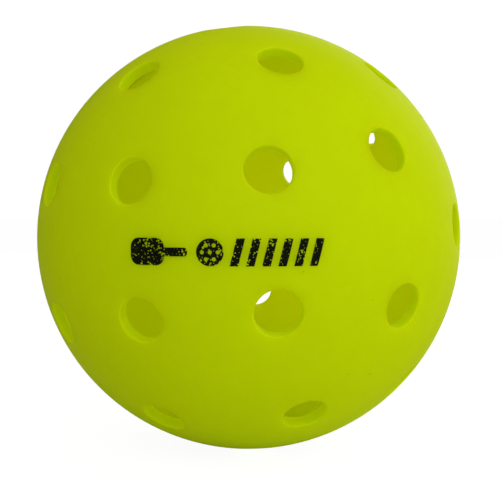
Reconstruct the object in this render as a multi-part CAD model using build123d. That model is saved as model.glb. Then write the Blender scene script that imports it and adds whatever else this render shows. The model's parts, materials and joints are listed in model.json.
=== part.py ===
"""Pickleball ball: two perforated half shells welded rim to rim, with a printed mark on one pole.

The ball's centre is the origin. The moulding axis is Y, with the printed pole at -Y,
and +Z is the print's own upright. Lengths are millimetres and angles are degrees.
"""
from build123d import *
from math import asin, cos, degrees, radians, sin, sqrt
import os

# Shell
ball_diameter = 74.0
wall = 1.7

# Holes: each half has rings of round holes about its pole, bored towards the ball's centre
hole_diameter = 6.9
inner_ring_polar = 22.5     # from the pole
middle_ring_polar = 52.0
rim_ring_polar = 78.0
inner_ring_count = 4
outer_ring_count = 8        # the middle ring and the rim ring each have this many
print_to_hole_turn = 4.1    # the print is not quite square to the holes
halves_turn = 20.8          # how far the rear half's holes are turned against the front half's
stray_hole = 7              # this hole of the front middle ring lies a little off its mark
stray_polar = -0.8
stray_turn = 2.4

# Joint at the rim: the rear half's tongue lies inside the front half's rebate
lap_depth = 1.2
weld_bead_radius = 0.6

# Printed mark: a bat, a ball and a row of slanted bars
ink_film = 0.04
mark_height = 3.8
mark_length = 27.2
mark_centre_x = 3.4
mark_centre_z = -0.7
bat_head_length = 5.2
bat_handle_length = 3.4
bat_handle_width = 1.2
symbol_gap = 1.3
bar_count = 6
bar_width = 1.15
bar_lean = 14.0

outer_radius = ball_diameter / 2
inner_radius = outer_radius - wall
joint_radius = outer_radius - wall / 2
hole_radius = hole_diameter / 2
hole_pitch = 360 / outer_ring_count
first_hole_turn = hole_pitch + print_to_hole_turn


def across(polar, turn, side):
    """Unit direction of a hole: polar is from the pole, turn is from +X towards +Z, side is -1 or 1 on Y."""
    reach = sin(radians(polar))
    return Vector(reach * cos(radians(turn)), side * cos(radians(polar)), reach * sin(radians(turn)))


def hole_directions(side):
    """Directions of all the holes of one half."""
    start = first_hole_turn + (halves_turn if side > 0 else 0)
    rings = (
        (inner_ring_polar, inner_ring_count, start),
        (middle_ring_polar, outer_ring_count, start + hole_pitch / 2),
        (rim_ring_polar, outer_ring_count, start),
    )
    directions = [
        across(polar, turn + 360 * place / count, side)
        for polar, count, turn in rings
        for place in range(count)
    ]
    if side < 0:
        turn = start + hole_pitch * (stray_hole + 1 / 2) + stray_turn
        directions[inner_ring_count + stray_hole] = across(middle_ring_polar + stray_polar, turn, side)
    return directions


def drill(direction):
    """Straight round cutter through the wall, along one hole's direction."""
    return Plane(origin=direction * joint_radius, z_dir=direction) * Cylinder(hole_radius, 4 * wall)


def zone(low, high):
    """Slab of space between two planes across the moulding axis."""
    width = 2 * ball_diameter
    return Pos(0, (low + high) / 2, 0) * Box(width, high - low, width)


def upright_sphere(radius):
    """Sphere whose own poles lie on the moulding axis, clear of the holes."""
    return Rot(90, 0, 0) * Sphere(radius)


def skin(small, large):
    """Spherical layer between two radii."""
    return upright_sphere(large) - upright_sphere(small)


def front_half_shell():
    half = skin(inner_radius, outer_radius) & zone(-ball_diameter, 0)
    half -= skin(inner_radius - wall, joint_radius) & zone(-lap_depth, wall)
    return half - [drill(direction) for direction in hole_directions(-1)]


def rear_half_shell():
    half = skin(inner_radius, outer_radius) & zone(0, ball_diameter)
    half += skin(inner_radius, joint_radius) & zone(-lap_depth, 0)
    return half - [drill(direction) for direction in hole_directions(1)]


def seam_weld_bead():
    """Plastic squeezed inwards along the tongue's edge when the halves are welded."""
    ring_radius = sqrt(inner_radius**2 - lap_depth**2)
    ring = Pos(0, -lap_depth, 0) * Rot(90, 0, 0) * Torus(ring_radius, weld_bead_radius)
    return ring & upright_sphere(inner_radius)


def bat_outline():
    """Bat lying on its side, with its handle to the right; left edge at the origin."""
    head = Pos(bat_head_length / 2, 0) * RectangleRounded(bat_head_length, mark_height, mark_height / 3)
    handle_overlap = bat_head_length / 4
    handle_run = bat_handle_length + handle_overlap
    handle_middle = bat_head_length - handle_overlap + handle_run / 2
    handle = Pos(handle_middle, 0) * RectangleRounded(handle_run, bat_handle_width, bat_handle_width / 2.5)
    return head + handle


def ball_outline():
    """Disc with a centre hole and a ring of holes; left edge at the origin."""
    disc = Circle(mark_height / 2)
    hole = mark_height / 13
    holes = [Circle(hole)] + [location * Circle(hole) for location in PolarLocations(mark_height * 0.29, 6)]
    return Pos(mark_height / 2, 0) * (disc - holes)


def bar_outline():
    """One bar leaning to the right; left edge near the origin."""
    lean = mark_height / 2 * sin(radians(bar_lean)) / cos(radians(bar_lean))
    half = mark_height / 2
    corners = [(-lean, -half), (bar_width - lean, -half), (bar_width + lean, half), (lean, half)]
    return make_face(Polyline(*corners, close=True))


def mark_symbols():
    """Flat symbols of the mark with the places of their left edges along its length."""
    places = [(bat_outline(), 0.0)]
    ball_left = bat_head_length + bat_handle_length + symbol_gap
    places.append((ball_outline(), ball_left))
    bars_left = ball_left + mark_height + symbol_gap
    pitch = (mark_length - bar_width - bars_left) / (bar_count - 1)
    places += [(bar_outline(), bars_left + pitch * place) for place in range(bar_count)]
    return places


def printed_mark():
    """Ink film: each flat symbol is wrapped to its place on the sphere and cut from a thin skin."""
    film = skin(outer_radius, outer_radius + ink_film)
    rise = degrees(asin(mark_centre_z / outer_radius))
    symbols = []
    for outline, left in mark_symbols():
        middle = left + outline.bounding_box().center().X
        turn = degrees((mark_centre_x - mark_length / 2 + middle) / outer_radius)
        flat = Pos(left - middle, 0) * outline
        stamp = extrude(flat, amount=ball_diameter / 2)
        towards = Rot(0, 0, turn) * Rot(-rise, 0, 0) * Rot(90, 0, 0)
        symbols.append(film & (towards * Pos(0, 0, outer_radius / 2) * stamp))
    return Compound(children=symbols)


nodes = {
    "front_half_shell": front_half_shell,
    "rear_half_shell": rear_half_shell,
    "seam_weld_bead": seam_weld_bead,
    "printed_mark": printed_mark,
}

os.makedirs("parts", exist_ok=True)
for name, make in nodes.items():
    export_step(make(), f"parts/{name}.step")
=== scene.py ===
import bmesh
import bpy
import json
import numpy as np
from math import asin, cos, pi, radians, sin, sqrt, tau
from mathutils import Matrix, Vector


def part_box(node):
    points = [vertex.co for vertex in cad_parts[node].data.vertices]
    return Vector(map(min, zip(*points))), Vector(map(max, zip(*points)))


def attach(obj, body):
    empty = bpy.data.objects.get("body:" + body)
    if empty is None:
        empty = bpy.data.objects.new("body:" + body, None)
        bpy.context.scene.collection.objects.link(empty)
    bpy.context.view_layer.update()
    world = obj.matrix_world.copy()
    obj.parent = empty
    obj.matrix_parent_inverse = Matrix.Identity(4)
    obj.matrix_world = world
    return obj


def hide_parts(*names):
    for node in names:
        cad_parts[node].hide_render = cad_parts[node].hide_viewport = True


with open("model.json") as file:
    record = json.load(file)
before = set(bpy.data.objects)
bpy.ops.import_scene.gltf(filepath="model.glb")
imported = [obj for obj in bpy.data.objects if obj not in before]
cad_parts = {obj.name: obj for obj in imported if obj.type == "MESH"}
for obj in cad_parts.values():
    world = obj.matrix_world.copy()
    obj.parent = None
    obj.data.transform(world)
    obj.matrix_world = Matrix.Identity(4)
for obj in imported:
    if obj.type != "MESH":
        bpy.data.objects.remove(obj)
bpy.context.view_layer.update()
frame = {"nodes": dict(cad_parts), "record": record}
mm = 0.001


# ---- Half shells ------------------------------------------------------------------------------
# Two injection-moulded half shells of fluorescent yellow-green polyethylene make the ball. Each
# has twenty round holes with lightly rounded rims. The rear one's tongue sits in the front one's
# rebate, and heat welds the rims together.

shell_low, shell_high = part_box("front_half_shell")
outer_radius = shell_high.x
wall = 1.7 * mm
inner_radius = outer_radius - wall
joint_radius = outer_radius - wall / 2
lap_depth = 1.2 * mm
joint_gap = 0.01 * mm
seam_round = 0.10 * mm
shell_turns = 240               # facets round the ball
pole_to_seam_steps = 60
lap_steps = 2

hole_radius = frame["record"]["mounts"][0]["dims"]["r_mm"] * mm
outer_rim_round = 0.26 * mm
inner_rim_round = 0.12 * mm
rim_meeting_angle = radians(14) # a rounding stops this much short of lying flush with the wall
rim_steps = 7
hole_turns = 72
cutter_flare = 1.2 * mm         # how far a hole's cutter runs on past its rims
cutter_stand = 0.4 * mm         # how far it stands out of the ball
least_edge = 0.001 * mm         # corners closer than this are merged after the cut

inner_ring_polar = radians(22.5)
middle_ring_polar = radians(52.0)
rim_ring_polar = radians(78.0)
inner_ring_count = 4
outer_ring_count = 8            # the middle ring and the rim ring each have this many
first_hole_turn = radians(49.1)
halves_turn = radians(20.8)
stray_hole = 7                  # this hole of the front middle ring lies a little off its mark
stray_polar = radians(-0.8)
stray_turn = radians(2.4)

skin_green = (0.585, 0.765, 0.001, 1)
pale_skin_green = (0.61, 0.80, 0.001, 1)
mottle_green = (0.60, 0.765, 0.001, 1)
trimmed_green = (0.66, 0.82, 0.02, 1)
speck_olive = (0.34, 0.40, 0.01, 1)
inside_green = (0.60, 0.77, 0.001, 1)
# Painted shade: the cut edges are coloured darker than the skin so that the lamps light the bores less.
cut_edge_painted_shade_green = (0.33, 0.44, 0.001, 1)
no_glow = (0, 0, 0, 1)
# Painted glow: an even emission on the inside stands in for light that comes through the wall.
painted_inside_glow = (0.085, 0.079, 0, 1)
# Painted glow: an even emission on the cut edges stands in for light that the plastic carries to them.
painted_cut_edge_glow = (0.135, 0.168, 0, 1)
inner_face_fade = (inner_radius + 0.02 * mm, inner_radius + 0.20 * mm)
outer_face_fade = (outer_radius - 0.16 * mm, outer_radius - 0.01 * mm)
trimmed_band_fade = (0.15 * mm, 0.45 * mm)
cloud_scale = 60.0              # patterns are in patches to the metre
mottle_scale = 420.0
grain_scale = 1900.0
grain_height = 0.02 * mm
scrape_scale = (150.0, 9000.0, 150.0)
speck_scale = 165.0
speck_fade = (0.008, 0.024)
light_travel = 8.0 * mm         # how far red light gets through the plastic
light_travel_by_colour = (1.0, 0.85, 0.15)
skin_gloss = 1.05


class Wire:
    """One output of a node, with the arithmetic that a recipe needs."""

    def __init__(self, recipe, socket):
        self.recipe = recipe
        self.socket = socket

    def maths(self, operation, *others, turned=False):
        terms = [self, *others][::-1] if turned else [self, *others]
        return self.recipe.node("ShaderNodeMath", {"operation": operation}, dict(enumerate(terms)))

    def __add__(self, other):
        return self.maths("ADD", other)

    def __sub__(self, other):
        return self.maths("SUBTRACT", other)

    def __rsub__(self, other):
        return self.maths("SUBTRACT", other, turned=True)

    def __mul__(self, other):
        return self.maths("MULTIPLY", other)

    def __truediv__(self, other):
        return self.maths("DIVIDE", other)

    def __rtruediv__(self, other):
        return self.maths("DIVIDE", other, turned=True)

    __radd__ = __add__
    __rmul__ = __mul__

    def cosine(self):
        return self.maths("COSINE")

    def sine(self):
        return self.maths("SINE")

    def size(self):
        return self.maths("ABSOLUTE")

    def same_count(self, other):
        """1 where two whole numbers are the same, 0 elsewhere."""
        return self.maths("COMPARE", other, 0.5)

    def between(self, low, high):
        """0 at low, 1 at high, smooth in between."""
        sockets = {"Value": self, "From Min": low, "From Max": high}
        smooth = {"interpolation_type": "SMOOTHSTEP"}
        return self.recipe.node("ShaderNodeMapRange", smooth, sockets, "Result")


class Recipe:
    """A node tree that is being put together."""

    def __init__(self, tree):
        self.tree = tree

    def node(self, kind, settings=None, sockets=None, output=0):
        """Adds a node and gives the wire from one of its outputs; a list feeds one socket many wires."""
        made = self.tree.nodes.new(kind)
        for name, value in (settings or {}).items():
            setattr(made, name, value)
        for name, value in (sockets or {}).items():
            if isinstance(value, list):
                for wire in value:
                    self.tree.links.new(wire.socket, made.inputs[name])
            elif isinstance(value, Wire):
                self.tree.links.new(value.socket, made.inputs[name])
            else:
                made.inputs[name].default_value = value
        return Wire(self, made.outputs[output]) if len(made.outputs) else None

    def noise(self, place, scale, detail):
        """Cloudy pattern, 0 to 1."""
        return self.node("ShaderNodeTexNoise", {}, {"Vector": place, "Scale": scale, "Detail": detail})

    def nearest_dot(self, place, scale):
        """Distance to the nearest of many scattered dots, in gaps between dots."""
        return self.node("ShaderNodeTexVoronoi", {}, {"Vector": place, "Scale": scale}, "Distance")

    def tint(self, factor, first, second):
        """Colour between two colours or wires."""
        sockets = {"Factor": factor, 6: first, 7: second}
        return self.node("ShaderNodeMix", {"data_type": "RGBA"}, sockets, 2)

    def relief(self, height, strength, distance):
        """Normal of a surface that stands up by height."""
        sockets = {"Strength": strength, "Distance": distance, "Height": height}
        return self.node("ShaderNodeBump", {}, sockets)

    def surface(self, sockets):
        """Ends a material with a surface that has these values."""
        shader = self.node("ShaderNodeBsdfPrincipled", {}, sockets)
        self.node("ShaderNodeOutputMaterial", {}, {"Surface": shader})


def new_material(name):
    """An empty material and its recipe."""
    material = bpy.data.materials.new(name)
    material.use_nodes = True
    material.node_tree.nodes.clear()
    return material, Recipe(material.node_tree)


def new_geometry(name, inputs, result):
    """An empty geometry tree with these named inputs, its recipe and the inputs' wires."""
    tree = bpy.data.node_groups.new(name, "GeometryNodeTree")
    for label, kind in inputs.items():
        tree.interface.new_socket(label, in_out="INPUT", socket_type="NodeSocket" + kind)
    tree.interface.new_socket(result, in_out="OUTPUT", socket_type="NodeSocketGeometry")
    recipe = Recipe(tree)
    return tree, recipe, {label: recipe.node("NodeGroupInput", output=label) for label in inputs}


def shell_plastic():
    """Satin fluorescent polyethylene that lets some light through; its inside and its cut edges have a
    painted glow, and its cut edges are painted a darker shade.
    """
    material, recipe = new_material("shell_plastic")
    place = recipe.node("ShaderNodeTexCoord", output="Object")
    depth = recipe.node("ShaderNodeVectorMath", {"operation": "LENGTH"}, {0: place}, "Value")
    inside = 1 - depth.between(*inner_face_fade)
    cut_edge = (1 - depth.between(*outer_face_fade)) * (1 - inside)
    off_seam = recipe.node("ShaderNodeSeparateXYZ", {}, {"Vector": place}, "Y").size()
    trimmed = (1 - off_seam.between(*trimmed_band_fade)) * (1 - inside)

    cloud = recipe.noise(place, cloud_scale, 3.0)
    mottle = recipe.noise(place, mottle_scale, 2.0)
    grain = recipe.noise(place, grain_scale, 2.0)
    stretch = {"Vector": place, "Scale": scrape_scale}
    stretched = recipe.node("ShaderNodeMapping", {"vector_type": "POINT"}, stretch)
    scrape = recipe.noise(stretched, 1.0, 2.0)
    clean = recipe.nearest_dot(place, speck_scale).between(*speck_fade)

    skin = recipe.tint(cloud.between(0.3, 0.7), skin_green, pale_skin_green)
    skin = recipe.tint(0.5 * mottle.between(0.35, 0.65), skin, mottle_green)
    skin = recipe.tint(0.4 * trimmed, skin, trimmed_green)
    skin = recipe.tint(clean, speck_olive, skin)
    colour = recipe.tint(inside, skin, inside_green)
    # Painted shade: the cut edges are coloured darker than the skin.
    colour = recipe.tint(cut_edge, colour, cut_edge_painted_shade_green)
    # Painted glow on the inside and on the cut edges: an even emission that stands in for light coming
    # through the wall.
    glow = recipe.tint(inside, no_glow, painted_inside_glow)
    glow = recipe.tint(cut_edge, glow, painted_cut_edge_glow)
    recipe.surface({
        "Base Color": colour,
        "Roughness": 0.42 + 0.12 * cloud + 0.2 * trimmed,
        "IOR": skin_gloss,
        "Subsurface Weight": 1.0,
        "Subsurface Radius": light_travel_by_colour,
        "Subsurface Scale": light_travel,
        "Emission Color": glow,
        "Emission Strength": 1.0,
        "Normal": recipe.relief(grain + 3 * trimmed * scrape, 0.25, grain_height),
    })
    return material


def turned_solid(name, profile, turns):
    """Closed mesh turned about Y; its profile's points are (distance from Y, place on Y)."""
    made = bmesh.new()
    angles = [tau * step / turns for step in range(turns)]
    rings = []
    for reach, height in profile:
        if reach == 0:
            rings.append([made.verts.new((0, height, 0))] * turns)
        else:
            rings.append([made.verts.new((reach * cos(a), height, reach * sin(a))) for a in angles])
    for ring, following in zip(rings, rings[1:]):
        for step in range(turns):
            after = (step + 1) % turns
            corners = (ring[step], ring[after], following[after], following[step])
            made.faces.new(list(dict.fromkeys(corners)))
    bmesh.ops.recalc_face_normals(made, faces=made.faces)
    mesh = bpy.data.meshes.new(name)
    made.to_mesh(mesh)
    made.free()
    return mesh


def arc(radius, start, end, steps):
    """Points of a sphere's profile between two angles from the seam plane."""
    angles = [start + (end - start) * step / steps for step in range(steps + 1)]
    return [(radius * cos(a), radius * sin(a)) for a in angles]


def half_profile(has_tongue):
    """Section of a half shell, outer pole to rim to inner pole, with the pole at +Y."""
    away = -1 if has_tongue else 1
    clear = 0 if has_tongue else joint_gap
    lap_radius = joint_radius - joint_gap if has_tongue else joint_radius
    lap_end = away * lap_depth + clear
    outside = arc(outer_radius, pi / 2, asin((seam_round + clear) / outer_radius), pole_to_seam_steps)
    outside[0] = (0, outer_radius)
    rim = [(outer_radius - seam_round, clear)]
    lap = arc(lap_radius, asin(clear / lap_radius), asin(lap_end / lap_radius), lap_steps)
    inside = arc(inner_radius, asin(lap_end / inner_radius), pi / 2, pole_to_seam_steps)
    inside[-1] = (0, inner_radius)
    return outside + rim + lap + inside


def rim_section(shell_radius, rounding, way):
    """Section of a hole's rounded rim, from the bore outwards; way is 1 on the ball's outside, else -1."""
    reach = hole_radius + rounding
    centre_radius = shell_radius - way * rounding
    centre = sqrt(centre_radius**2 - reach**2)
    last = pi / 2 + way * asin(reach / centre_radius) - rim_meeting_angle
    angles = [last * step / rim_steps for step in range(rim_steps + 1)]
    points = [(reach - rounding * cos(a), centre + way * rounding * sin(a)) for a in angles]
    end_reach, end_height = points[-1]
    points.append((end_reach + cutter_flare * sin(last), end_height + way * cutter_flare * cos(last)))
    return points


def hole_profile():
    """Section of what a hole takes out of the wall; +Y is the way out."""
    inner = rim_section(inner_radius, inner_rim_round, -1)
    outer = rim_section(outer_radius, outer_rim_round, 1)
    lowest = (0, inner[-1][1])
    highest = (0, outer_radius + cutter_stand)
    return [lowest, *inner[::-1], *outer, highest]


def perforating():
    """Geometry nodes that cut three rings of holes through a half shell."""
    inputs = {
        "Half Shell": "Geometry",
        "Hole": "Object",
        "Side": "Float",
        "First Hole Turn": "Float",
        "Inner Ring Polar": "Float",
        "Middle Ring Polar": "Float",
        "Rim Ring Polar": "Float",
        "Inner Ring Count": "Int",
        "Outer Ring Count": "Int",
        "Stray Hole": "Int",
        "Stray Polar": "Float",
        "Stray Turn": "Float",
        "Least Edge": "Float",
        "Plastic": "Material",
    }
    tree, recipe, given = new_geometry("perforating", inputs, "Perforated Half")
    hole = recipe.node("GeometryNodeObjectInfo", {}, {"Object": given["Hole"]}, "Geometry")
    index = recipe.node("GeometryNodeInputIndex")

    def ring(polar, count, turn):
        """Copies of the hole's cutter in one ring, all facing the ball's centre."""
        across = turn + tau * index / count
        reach = polar.sine()
        height = given["Side"] * polar.cosine()
        parts = {"X": reach * across.cosine(), "Y": height, "Z": reach * across.sine()}
        outwards = recipe.node("ShaderNodeCombineXYZ", {}, parts)
        facing = recipe.node("FunctionNodeAlignRotationToVector", {"axis": "Y"}, {"Vector": outwards})
        places = recipe.node("GeometryNodeMeshLine", {}, {"Count": count, "Offset": (0, 0, 0)})
        row = {"Points": places, "Instance": hole, "Rotation": facing}
        return recipe.node("GeometryNodeInstanceOnPoints", {}, row)

    first = given["First Hole Turn"]
    half_pitch = pi / given["Outer Ring Count"]
    stray = index.same_count(given["Stray Hole"])
    middle_polar = given["Middle Ring Polar"] + stray * given["Stray Polar"]
    middle_turn = first + half_pitch + stray * given["Stray Turn"]
    rings = [
        ring(given["Inner Ring Polar"], given["Inner Ring Count"], first),
        ring(middle_polar, given["Outer Ring Count"], middle_turn),
        ring(given["Rim Ring Polar"], given["Outer Ring Count"], first),
    ]
    joined = recipe.node("GeometryNodeJoinGeometry", {}, {0: rings})
    cutters = recipe.node("GeometryNodeRealizeInstances", {}, {"Geometry": joined})
    exactly = {"operation": "DIFFERENCE", "solver": "EXACT"}
    taken = {"Mesh 1": given["Half Shell"], "Mesh 2": cutters}
    cut = recipe.node("GeometryNodeMeshBoolean", exactly, taken)
    near = {"Geometry": cut, "Distance": given["Least Edge"]}
    merged = recipe.node("GeometryNodeMergeByDistance", {}, near)
    whole = recipe.node("GeometryNodeRealizeInstances", {}, {"Geometry": merged})
    made = recipe.node("GeometryNodeSetMaterial", {}, {"Geometry": whole, "Material": given["Plastic"]})
    recipe.node("NodeGroupOutput", {}, {0: made})
    return tree


def hole_directions(side, turn):
    """Unit directions of one half's holes."""
    half_pitch = pi / outer_ring_count
    rings = (
        (inner_ring_polar, inner_ring_count, turn),
        (middle_ring_polar, outer_ring_count, turn + half_pitch),
        (rim_ring_polar, outer_ring_count, turn),
    )
    angles = np.array([
        (polar, start + tau * place / count)
        for polar, count, start in rings
        for place in range(count)
    ])
    if side < 0:
        angles[inner_ring_count + stray_hole] += (stray_polar, stray_turn)
    polar, across = angles.T
    reach = np.sin(polar)
    return np.stack([reach * np.cos(across), side * np.cos(polar), reach * np.sin(across)], axis=1)


def lengths(rows):
    """Length of each vector, never quite zero."""
    return np.maximum(np.linalg.norm(rows, axis=1), 1e-9)[:, None]


def read(items, field, width=1, kind=float):
    """A field of all of a mesh's vertices, faces or corners, as an array."""
    values = np.zeros(len(items) * width, kind)
    items.foreach_get(field, values)
    return values.reshape(-1, width) if width > 1 else values


def true_normals(mesh, directions):
    """Gives every corner the normal of the sphere, bore or rounded rim that it lies on.

    A corner whose face looks another way, as on the lap, keeps the face's own normal.
    """
    on_sphere_within = 0.004 * mm
    least_agreement = 0.75
    points = read(mesh.vertices, "co", 3)
    distance = lengths(points)
    radial = points / distance
    outer_side = distance > joint_radius
    normals = np.where(outer_side, radial, -radial)
    nearest = directions[np.argmax(radial @ directions.T, axis=1)]
    height = (points * nearest).sum(1)[:, None]
    spoke = points - height * nearest
    reach = lengths(spoke)
    spoke /= reach
    rounding = np.where(outer_side, outer_rim_round, inner_rim_round)
    lean = np.clip((hole_radius + rounding - reach) / rounding, -1, 1)
    rise = np.sqrt(1 - lean**2) * np.where(outer_side, 1, -1)
    off_sphere = np.minimum(abs(distance - outer_radius), abs(distance - inner_radius)) > on_sphere_within
    in_hole = (reach < hole_radius + rounding) & off_sphere
    normals = np.where(in_hole, nearest * rise - spoke * lean, normals)
    normals /= lengths(normals)
    corners_of_each = read(mesh.polygons, "loop_total", kind=int)
    smooth = normals[read(mesh.loops, "vertex_index", kind=int)]
    flat = np.repeat(read(mesh.polygons, "normal", 3), corners_of_each, axis=0)
    agree = (smooth * flat).sum(1)[:, None] > least_agreement
    mesh.polygons.foreach_set("use_smooth", np.ones(len(mesh.polygons), bool))
    mesh.normals_split_custom_set(np.where(agree, smooth, flat))


def new_piece(name, mesh):
    """A piece in the scene that holds this mesh."""
    piece = bpy.data.objects.new(name, mesh)
    bpy.context.scene.collection.objects.link(piece)
    return piece


def shape_by_nodes(piece, tree, values):
    """Runs a tree with these values for its named inputs, and leaves a plain mesh."""
    modifier = piece.modifiers.new(tree.name, "NODES")
    modifier.node_group = tree
    for item in tree.interface.items_tree:
        if item.name in values:
            modifier[item.identifier] = values[item.name]
    graph = bpy.context.evaluated_depsgraph_get()
    mesh = bpy.data.meshes.new_from_object(piece.evaluated_get(graph))
    piece.modifiers.clear()
    piece.data = mesh
    mesh.name = piece.name


plastic = shell_plastic()
hole = new_piece("hole", turned_solid("hole", hole_profile(), hole_turns))
perforate = perforating()
for name, side, has_tongue, turn in (
    ("front_half_shell", -1, False, first_hole_turn),
    ("rear_half_shell", 1, True, first_hole_turn + halves_turn),
):
    profile = [(reach, side * height) for reach, height in half_profile(has_tongue)]
    half = new_piece(name + "_moulding", turned_solid(name, profile, shell_turns))
    shape_by_nodes(half, perforate, {
        "Hole": hole,
        "Side": float(side),
        "First Hole Turn": turn,
        "Inner Ring Polar": inner_ring_polar,
        "Middle Ring Polar": middle_ring_polar,
        "Rim Ring Polar": rim_ring_polar,
        "Inner Ring Count": inner_ring_count,
        "Outer Ring Count": outer_ring_count,
        "Stray Hole": stray_hole,
        "Stray Polar": stray_polar if side < 0 else 0.0,
        "Stray Turn": stray_turn if side < 0 else 0.0,
        "Least Edge": least_edge,
        "Plastic": plastic,
    })
    true_normals(half.data, hole_directions(side, turn))
    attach(half, "root")
    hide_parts(name)
bpy.data.objects.remove(hole)


# ---- Weld bead --------------------------------------------------------------------------------
# Plastic that the heat weld squeezed out of the joint and that set as an uneven ring on the inner
# wall. It is the shells' own polyethylene, remelted, so it is shinier and a little deeper in colour.

bead_low, bead_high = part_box("seam_weld_bead")
bead_radius = (bead_high.y - bead_low.y) / 2
bead_place = (bead_high.y + bead_low.y) / 2
bead_unevenness = 0.28
bead_seed = 4.0
bead_turns = 600
bead_facets = 16
lump_scale = 260.0
melt_green = (0.53, 0.68, 0.001, 1)
pale_melt_green = (0.60, 0.76, 0.001, 1)
# Painted glow: an even emission that stands in for light coming through the shells onto the bead.
painted_melt_glow = (0.08, 0.075, 0.0, 1)
melt_gloss = 1.3
swirl_scale = 500.0
ripple_scale = 1500.0
ripple_height = 0.05 * mm


def weld_plastic():
    """Remelted shell plastic, with a glossy skin."""
    material, recipe = new_material("weld_plastic")
    place = recipe.node("ShaderNodeTexCoord", output="Object")
    swirled = {"Vector": place, "Scale": swirl_scale, "Detail": 3.0, "Distortion": 1.5}
    swirl = recipe.node("ShaderNodeTexNoise", {}, swirled)
    ripple = recipe.noise(place, ripple_scale, 1.0)
    recipe.surface({
        "Base Color": recipe.tint(swirl.between(0.3, 0.7), melt_green, pale_melt_green),
        "Roughness": 0.22 + 0.15 * swirl,
        "IOR": melt_gloss,
        "Subsurface Weight": 1.0,
        "Subsurface Radius": light_travel_by_colour,
        "Subsurface Scale": light_travel,
        # Painted glow, not light from the lamps.
        "Emission Color": painted_melt_glow,
        "Emission Strength": 1.0,
        "Normal": recipe.relief(ripple, 0.3, ripple_height),
    })
    return material


def beading():
    """Geometry nodes that run an uneven bead round the inner wall at the seam."""
    inputs = {
        "Blank": "Geometry",
        "Ring Radius": "Float",
        "Ring Place": "Float",
        "Bead Radius": "Float",
        "Ring Turns": "Int",
        "Bead Facets": "Int",
        "Unevenness": "Float",
        "Lump Scale": "Float",
        "Seed": "Float",
        "Plastic": "Material",
    }
    tree, recipe, given = new_geometry("beading", inputs, "Bead")
    ring = {"Resolution": given["Ring Turns"], "Radius": given["Ring Radius"]}
    circle = recipe.node("GeometryNodeCurvePrimitiveCircle", {}, ring)
    place = recipe.node("ShaderNodeCombineXYZ", {}, {"Y": given["Ring Place"]})
    turned = {"Geometry": circle, "Translation": place, "Rotation": (pi / 2, 0, 0)}
    upright = recipe.node("GeometryNodeTransform", {}, turned)
    outline = {"Resolution": given["Bead Facets"], "Radius": given["Bead Radius"]}
    section = recipe.node("GeometryNodeCurvePrimitiveCircle", {}, outline)
    tube = recipe.node("GeometryNodeCurveToMesh", {}, {"Curve": upright, "Profile Curve": section})
    lumpy = {"W": given["Seed"], "Scale": given["Lump Scale"], "Detail": 3.0}
    lumps = recipe.node("ShaderNodeTexNoise", {"noise_dimensions": "4D"}, lumpy)
    mostly_inwards = 2.4 * lumps - 1.6
    swell = given["Bead Radius"] * given["Unevenness"] * mostly_inwards
    outwards = recipe.node("GeometryNodeInputNormal")
    shift = recipe.node("ShaderNodeVectorMath", {"operation": "SCALE"}, {0: outwards, "Scale": swell})
    uneven = recipe.node("GeometryNodeSetPosition", {}, {"Geometry": tube, "Offset": shift})
    smooth = recipe.node("GeometryNodeSetShadeSmooth", {}, {"Geometry": uneven})
    whole = recipe.node("GeometryNodeRealizeInstances", {}, {"Geometry": smooth})
    made = recipe.node("GeometryNodeSetMaterial", {}, {"Geometry": whole, "Material": given["Plastic"]})
    recipe.node("NodeGroupOutput", {}, {0: made})
    return tree


bead = new_piece("seam_weld_bead_melt", bpy.data.meshes.new("blank"))
shape_by_nodes(bead, beading(), {
    "Ring Radius": sqrt(inner_radius**2 - bead_place**2),
    "Ring Place": bead_place,
    "Bead Radius": bead_radius,
    "Ring Turns": bead_turns,
    "Bead Facets": bead_facets,
    "Unevenness": bead_unevenness,
    "Lump Scale": lump_scale,
    "Seed": bead_seed,
    "Plastic": weld_plastic(),
})
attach(bead, "root")
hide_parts("seam_weld_bead")


# ---- Printed mark -----------------------------------------------------------------------------
# A thin film of black ink that a soft pad stamped on the front pole: a bat, a ball and six slanted
# bars. The pad left pinholes in it, and it has started to wear off in patches.

ink_black = (0.004, 0.005, 0.003, 1)
rubbed_ink_black = (0.01, 0.012, 0.005, 1)
ink_gloss = 1.06
patch_scale = 900.0
ink_grain_scale = 5200.0
ink_grain_height = 0.01 * mm
pinhole_scale = 3000.0


def mark_ink():
    """Black pad-printing ink, pierced by pinholes and thin where it has rubbed off."""
    material, recipe = new_material("mark_ink")
    place = recipe.node("ShaderNodeTexCoord", output="Object")
    patches = recipe.noise(place, patch_scale, 2.0)
    grain = recipe.noise(place, ink_grain_scale, 2.0)
    pinhole = 0.13 + 0.28 * patches.between(0.38, 0.66) + 0.14 * grain
    cover = recipe.nearest_dot(place, pinhole_scale).between(pinhole - 0.07, pinhole + 0.02)
    recipe.surface({
        "Base Color": recipe.tint(grain.between(0.35, 0.7), ink_black, rubbed_ink_black),
        "Roughness": 0.45 + 0.2 * grain,
        "IOR": ink_gloss,
        "Alpha": cover,
        "Normal": recipe.relief(grain, 0.3, ink_grain_height),
    })
    return material


mark = frame["nodes"]["printed_mark"]
mark.data.materials.clear()
mark.data.materials.append(mark_ink())


# ---- Table top --------------------------------------------------------------------------------
# The ball stands on a wide sheet of seamless matt paper. The paper is lit until it is as white as
# the room behind it, so only a faint shadow is left under the ball.

paper_reach = 3.0
paper_facets = 64
paper_grey = (0.75, 0.75, 0.75, 1)
paper_evenness = 0.75
white = (1, 1, 1, 1)
lit_paper = 1.25


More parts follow.
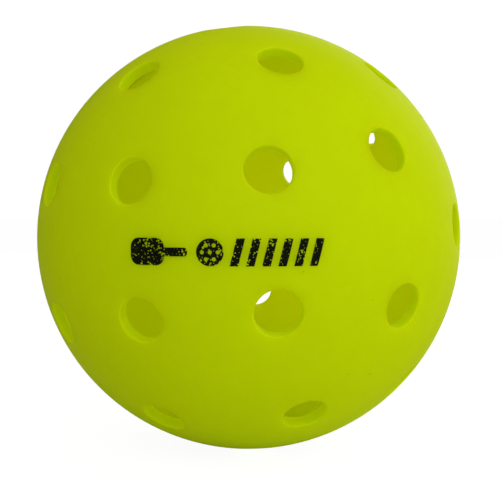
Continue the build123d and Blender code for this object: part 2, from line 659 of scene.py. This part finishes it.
def seamless_paper():
    """Matt paper, made an even white where the camera sees it."""
    material, recipe = new_material("floor_paper")
    seen = recipe.node("ShaderNodeLightPath", output="Is Camera Ray")
    sheet = recipe.node("ShaderNodeBsdfDiffuse", {}, {"Color": paper_grey})
    bright = recipe.node("ShaderNodeEmission", {}, {"Color": white, "Strength": lit_paper})
    both = recipe.node("ShaderNodeMixShader", {}, {"Fac": paper_evenness * seen, 1: sheet, 2: bright})
    recipe.node("ShaderNodeOutputMaterial", {}, {"Surface": both})
    return material


sheet = bmesh.new()
bmesh.ops.create_circle(sheet, cap_ends=True, radius=paper_reach, segments=paper_facets)
bmesh.ops.translate(sheet, verts=sheet.verts, vec=(0, 0, shell_low.z))
paper = new_piece("floor", bpy.data.meshes.new("floor"))
sheet.to_mesh(paper.data)
sheet.free()
paper.data.materials.append(seamless_paper())


# ---- Room and softboxes -----------------------------------------------------------------------
# A white room gives soft light all round. A large softbox stands to the right and above, so the
# ball dims gently towards the lower left. One behind shines through the shells and their holes.

scene = bpy.context.scene
scene.view_settings.view_transform = "Standard"
room_light = 0.255
seen_white = 1.02
softbox_away = 0.50
neutral_light = (1.0, 1.0, 1.0)
cool_light = (0.95, 1.0, 1.0)

room = bpy.data.worlds.new("room")
scene.world = room
room.use_nodes = True
room.node_tree.nodes.clear()
recipe = Recipe(room.node_tree)
seen = recipe.node("ShaderNodeLightPath", output="Is Camera Ray")
strength = room_light + (seen_white - room_light) * seen
backdrop = recipe.node("ShaderNodeBackground", {}, {"Color": white, "Strength": strength})
recipe.node("ShaderNodeOutputWorld", {}, {"Surface": backdrop})


def face_ball(thing, towards, away):
    """Puts a light or a camera out from the ball's centre, looking back at it."""
    thing.location = towards * away
    thing.rotation_mode = "QUATERNION"
    thing.rotation_quaternion = (-towards).to_track_quat("-Z", "Y")


def softbox(name, towards, size, power, colour):
    """Square area light that faces the ball."""
    data = bpy.data.lights.new(name, "AREA")
    data.size = size
    data.energy = power
    data.color = colour
    lamp = bpy.data.objects.new(name, data)
    scene.collection.objects.link(lamp)
    face_ball(lamp, Vector(towards).normalized(), softbox_away)


softbox("key_softbox", towards=(0.55, -0.75, 0.38), size=0.70, power=2.22, colour=cool_light)
softbox("rear_softbox", towards=(0.32, 0.92, 0.22), size=0.50, power=1.1, colour=neutral_light)


# ---- Camera -----------------------------------------------------------------------------------
# It stands two ball diameters from the ball's centre, a little to the right of the printed pole
# and a little above it. A slight shift puts the ball a little high in the frame.

camera_turn = radians(10.7)
camera_rise = radians(2.1)
camera_away = 4.0 * outer_radius

camera_data = bpy.data.cameras.new("camera")
camera_data.sensor_width = 36
camera_data.lens = 58.77
camera_data.shift_x = 0.00466
camera_data.shift_y = -0.0222
camera_data.clip_start = 0.01
camera = bpy.data.objects.new("camera", camera_data)
scene.collection.objects.link(camera)
scene.camera = camera
level = Vector((sin(camera_turn), -cos(camera_turn), 0))
face_ball(camera, cos(camera_rise) * level + Vector((0, 0, sin(camera_rise))), camera_away)
